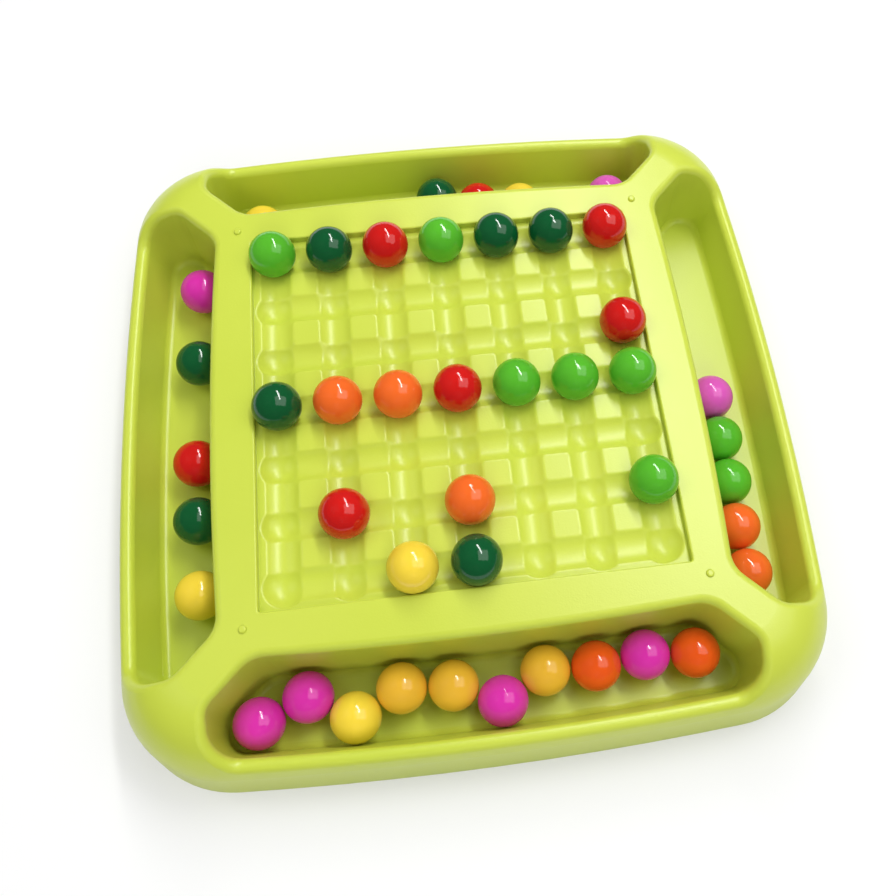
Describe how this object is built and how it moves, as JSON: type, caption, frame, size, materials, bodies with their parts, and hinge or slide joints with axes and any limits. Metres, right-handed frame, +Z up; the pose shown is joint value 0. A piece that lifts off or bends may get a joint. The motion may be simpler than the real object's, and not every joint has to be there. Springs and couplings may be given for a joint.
{
  "type": "ball sorting puzzle game",
  "caption": "Square moulded tray with a socketed playing grid, four corner-to-corner troughs and loose coloured balls that lift out of the sockets.",
  "frame": {"origin": "middle of the foot's square outline, on the table", "axes": "+X to the player's right along a row of sockets, +Y away from the player, +Z up"},
  "size_m": [0.2894, 0.2894, 0.0567],
  "materials": {
    "tray": "satin",
    "plate": "satin",
    "ball_lime": "gloss",
    "ball_green": "gloss",
    "ball_red": "gloss",
    "ball_orange": "gloss",
    "ball_vermilion": "gloss",
    "ball_yellow": "gloss",
    "ball_amber": "gloss",
    "ball_magenta": "gloss",
    "ball_pink": "gloss"
  },
  "bodies": {
    "tray": {"tray_shell": "tray", "grid_plate": "plate"},
    "loose_ball_board_r1c1": {"ball_board_r1c1": "ball_lime"},
    "loose_ball_board_r1c2": {"ball_board_r1c2": "ball_green"},
    "loose_ball_board_r1c3": {"ball_board_r1c3": "ball_red"},
    "loose_ball_board_r1c4": {"ball_board_r1c4": "ball_lime"},
    "loose_ball_board_r1c5": {"ball_board_r1c5": "ball_green"},
    "loose_ball_board_r1c6": {"ball_board_r1c6": "ball_green"},
    "loose_ball_board_r1c7": {"ball_board_r1c7": "ball_red"},
    "loose_ball_board_r3c7": {"ball_board_r3c7": "ball_red"},
    "loose_ball_board_r4c1": {"ball_board_r4c1": "ball_green"},
    "loose_ball_board_r4c2": {"ball_board_r4c2": "ball_orange"},
    "loose_ball_board_r4c3": {"ball_board_r4c3": "ball_orange"},
    "loose_ball_board_r4c4": {"ball_board_r4c4": "ball_red"},
    "loose_ball_board_r4c5": {"ball_board_r4c5": "ball_lime"},
    "loose_ball_board_r4c6": {"ball_board_r4c6": "ball_lime"},
    "loose_ball_board_r4c7": {"ball_board_r4c7": "ball_lime"},
    "loose_ball_board_r6c2": {"ball_board_r6c2": "ball_red"},
    "loose_ball_board_r6c4": {"ball_board_r6c4": "ball_orange"},
    "loose_ball_board_r6c7": {"ball_board_r6c7": "ball_lime"},
    "loose_ball_board_r7c3": {"ball_board_r7c3": "ball_yellow"},
    "loose_ball_board_r7c4": {"ball_board_r7c4": "ball_green"},
    "loose_ball_right_1": {"ball_right_1": "ball_orange"},
    "loose_ball_right_2": {"ball_right_2": "ball_orange"},
    "loose_ball_right_3": {"ball_right_3": "ball_lime"},
    "loose_ball_right_4": {"ball_right_4": "ball_lime"},
    "loose_ball_right_5": {"ball_right_5": "ball_pink"},
    "loose_ball_far_1": {"ball_far_1": "ball_pink"},
    "loose_ball_far_2": {"ball_far_2": "ball_yellow"},
    "loose_ball_far_3": {"ball_far_3": "ball_red"},
    "loose_ball_far_4": {"ball_far_4": "ball_green"},
    "loose_ball_far_5": {"ball_far_5": "ball_yellow"},
    "loose_ball_left_1": {"ball_left_1": "ball_magenta"},
    "loose_ball_left_2": {"ball_left_2": "ball_green"},
    "loose_ball_left_3": {"ball_left_3": "ball_red"},
    "loose_ball_left_4": {"ball_left_4": "ball_green"},
    "loose_ball_left_5": {"ball_left_5": "ball_yellow"},
    "loose_ball_front_1": {"ball_front_1": "ball_magenta"},
    "loose_ball_front_2": {"ball_front_2": "ball_magenta"},
    "loose_ball_front_3": {"ball_front_3": "ball_yellow"},
    "loose_ball_front_4": {"ball_front_4": "ball_amber"},
    "loose_ball_front_5": {"ball_front_5": "ball_amber"},
    "loose_ball_front_6": {"ball_front_6": "ball_magenta"},
    "loose_ball_front_7": {"ball_front_7": "ball_amber"},
    "loose_ball_front_8": {"ball_front_8": "ball_vermilion"},
    "loose_ball_front_9": {"ball_front_9": "ball_magenta"},
    "loose_ball_front_10": {"ball_front_10": "ball_vermilion"}
  },
  "joints": [
    {"name": "lift_board_r1c1", "type": "slide", "parent": "tray", "child": "loose_ball_board_r1c1", "axis": [0, 0, 1], "range_m": [0, 0.045]},
    {"name": "lift_board_r1c2", "type": "slide", "parent": "tray", "child": "loose_ball_board_r1c2", "axis": [0, 0, 1], "range_m": [0, 0.045]},
    {"name": "lift_board_r1c3", "type": "slide", "parent": "tray", "child": "loose_ball_board_r1c3", "axis": [0, 0, 1], "range_m": [0, 0.045]},
    {"name": "lift_board_r1c4", "type": "slide", "parent": "tray", "child": "loose_ball_board_r1c4", "axis": [0, 0, 1], "range_m": [0, 0.045]},
    {"name": "lift_board_r1c5", "type": "slide", "parent": "tray", "child": "loose_ball_board_r1c5", "axis": [0, 0, 1], "range_m": [0, 0.045]},
    {"name": "lift_board_r1c6", "type": "slide", "parent": "tray", "child": "loose_ball_board_r1c6", "axis": [0, 0, 1], "range_m": [0, 0.045]},
    {"name": "lift_board_r1c7", "type": "slide", "parent": "tray", "child": "loose_ball_board_r1c7", "axis": [0, 0, 1], "range_m": [0, 0.045]},
    {"name": "lift_board_r3c7", "type": "slide", "parent": "tray", "child": "loose_ball_board_r3c7", "axis": [0, 0, 1], "range_m": [0, 0.045]},
    {"name": "lift_board_r4c1", "type": "slide", "parent": "tray", "child": "loose_ball_board_r4c1", "axis": [0, 0, 1], "range_m": [0, 0.045]},
    {"name": "lift_board_r4c2", "type": "slide", "parent": "tray", "child": "loose_ball_board_r4c2", "axis": [0, 0, 1], "range_m": [0, 0.045]},
    {"name": "lift_board_r4c3", "type": "slide", "parent": "tray", "child": "loose_ball_board_r4c3", "axis": [0, 0, 1], "range_m": [0, 0.045]},
    {"name": "lift_board_r4c4", "type": "slide", "parent": "tray", "child": "loose_ball_board_r4c4", "axis": [0, 0, 1], "range_m": [0, 0.045]},
    {"name": "lift_board_r4c5", "type": "slide", "parent": "tray", "child": "loose_ball_board_r4c5", "axis": [0, 0, 1], "range_m": [0, 0.045]},
    {"name": "lift_board_r4c6", "type": "slide", "parent": "tray", "child": "loose_ball_board_r4c6", "axis": [0, 0, 1], "range_m": [0, 0.045]},
    {"name": "lift_board_r4c7", "type": "slide", "parent": "tray", "child": "loose_ball_board_r4c7", "axis": [0, 0, 1], "range_m": [0, 0.045]},
    {"name": "lift_board_r6c2", "type": "slide", "parent": "tray", "child": "loose_ball_board_r6c2", "axis": [0, 0, 1], "range_m": [0, 0.045]},
    {"name": "lift_board_r6c4", "type": "slide", "parent": "tray", "child": "loose_ball_board_r6c4", "axis": [0, 0, 1], "range_m": [0, 0.045]},
    {"name": "lift_board_r6c7", "type": "slide", "parent": "tray", "child": "loose_ball_board_r6c7", "axis": [0, 0, 1], "range_m": [0, 0.045]},
    {"name": "lift_board_r7c3", "type": "slide", "parent": "tray", "child": "loose_ball_board_r7c3", "axis": [0, 0, 1], "range_m": [0, 0.045]},
    {"name": "lift_board_r7c4", "type": "slide", "parent": "tray", "child": "loose_ball_board_r7c4", "axis": [0, 0, 1], "range_m": [0, 0.045]},
    {"name": "lift_right_1", "type": "slide", "parent": "tray", "child": "loose_ball_right_1", "axis": [0, 0, 1], "range_m": [0, 0.045]},
    {"name": "lift_right_2", "type": "slide", "parent": "tray", "child": "loose_ball_right_2", "axis": [0, 0, 1], "range_m": [0, 0.045]},
    {"name": "lift_right_3", "type": "slide", "parent": "tray", "child": "loose_ball_right_3", "axis": [0, 0, 1], "range_m": [0, 0.045]},
    {"name": "lift_right_4", "type": "slide", "parent": "tray", "child": "loose_ball_right_4", "axis": [0, 0, 1], "range_m": [0, 0.045]},
    {"name": "lift_right_5", "type": "slide", "parent": "tray", "child": "loose_ball_right_5", "axis": [0, 0, 1], "range_m": [0, 0.045]},
    {"name": "lift_far_1", "type": "slide", "parent": "tray", "child": "loose_ball_far_1", "axis": [0, 0, 1], "range_m": [0, 0.045]},
    {"name": "lift_far_2", "type": "slide", "parent": "tray", "child": "loose_ball_far_2", "axis": [0, 0, 1], "range_m": [0, 0.045]},
    {"name": "lift_far_3", "type": "slide", "parent": "tray", "child": "loose_ball_far_3", "axis": [0, 0, 1], "range_m": [0, 0.045]},
    {"name": "lift_far_4", "type": "slide", "parent": "tray", "child": "loose_ball_far_4", "axis": [0, 0, 1], "range_m": [0, 0.045]},
    {"name": "lift_far_5", "type": "slide", "parent": "tray", "child": "loose_ball_far_5", "axis": [0, 0, 1], "range_m": [0, 0.045]},
    {"name": "lift_left_1", "type": "slide", "parent": "tray", "child": "loose_ball_left_1", "axis": [0, 0, 1], "range_m": [0, 0.045]},
    {"name": "lift_left_2", "type": "slide", "parent": "tray", "child": "loose_ball_left_2", "axis": [0, 0, 1], "range_m": [0, 0.045]},
    {"name": "lift_left_3", "type": "slide", "parent": "tray", "child": "loose_ball_left_3", "axis": [0, 0, 1], "range_m": [0, 0.045]},
    {"name": "lift_left_4", "type": "slide", "parent": "tray", "child": "loose_ball_left_4", "axis": [0, 0, 1], "range_m": [0, 0.045]},
    {"name": "lift_left_5", "type": "slide", "parent": "tray", "child": "loose_ball_left_5", "axis": [0, 0, 1], "range_m": [0, 0.045]},
    {"name": "lift_front_1", "type": "slide", "parent": "tray", "child": "loose_ball_front_1", "axis": [0, 0, 1], "range_m": [0, 0.045]},
    {"name": "lift_front_2", "type": "slide", "parent": "tray", "child": "loose_ball_front_2", "axis": [0, 0, 1], "range_m": [0, 0.045]},
    {"name": "lift_front_3", "type": "slide", "parent": "tray", "child": "loose_ball_front_3", "axis": [0, 0, 1], "range_m": [0, 0.045]},
    {"name": "lift_front_4", "type": "slide", "parent": "tray", "child": "loose_ball_front_4", "axis": [0, 0, 1], "range_m": [0, 0.045]},
    {"name": "lift_front_5", "type": "slide", "parent": "tray", "child": "loose_ball_front_5", "axis": [0, 0, 1], "range_m": [0, 0.045]},
    {"name": "lift_front_6", "type": "slide", "parent": "tray", "child": "loose_ball_front_6", "axis": [0, 0, 1], "range_m": [0, 0.045]},
    {"name": "lift_front_7", "type": "slide", "parent": "tray", "child": "loose_ball_front_7", "axis": [0, 0, 1], "range_m": [0, 0.045]},
    {"name": "lift_front_8", "type": "slide", "parent": "tray", "child": "loose_ball_front_8", "axis": [0, 0, 1], "range_m": [0, 0.045]},
    {"name": "lift_front_9", "type": "slide", "parent": "tray", "child": "loose_ball_front_9", "axis": [0, 0, 1], "range_m": [0, 0.045]},
    {"name": "lift_front_10", "type": "slide", "parent": "tray", "child": "loose_ball_front_10", "axis": [0, 0, 1], "range_m": [0, 0.045]}
  ]
}
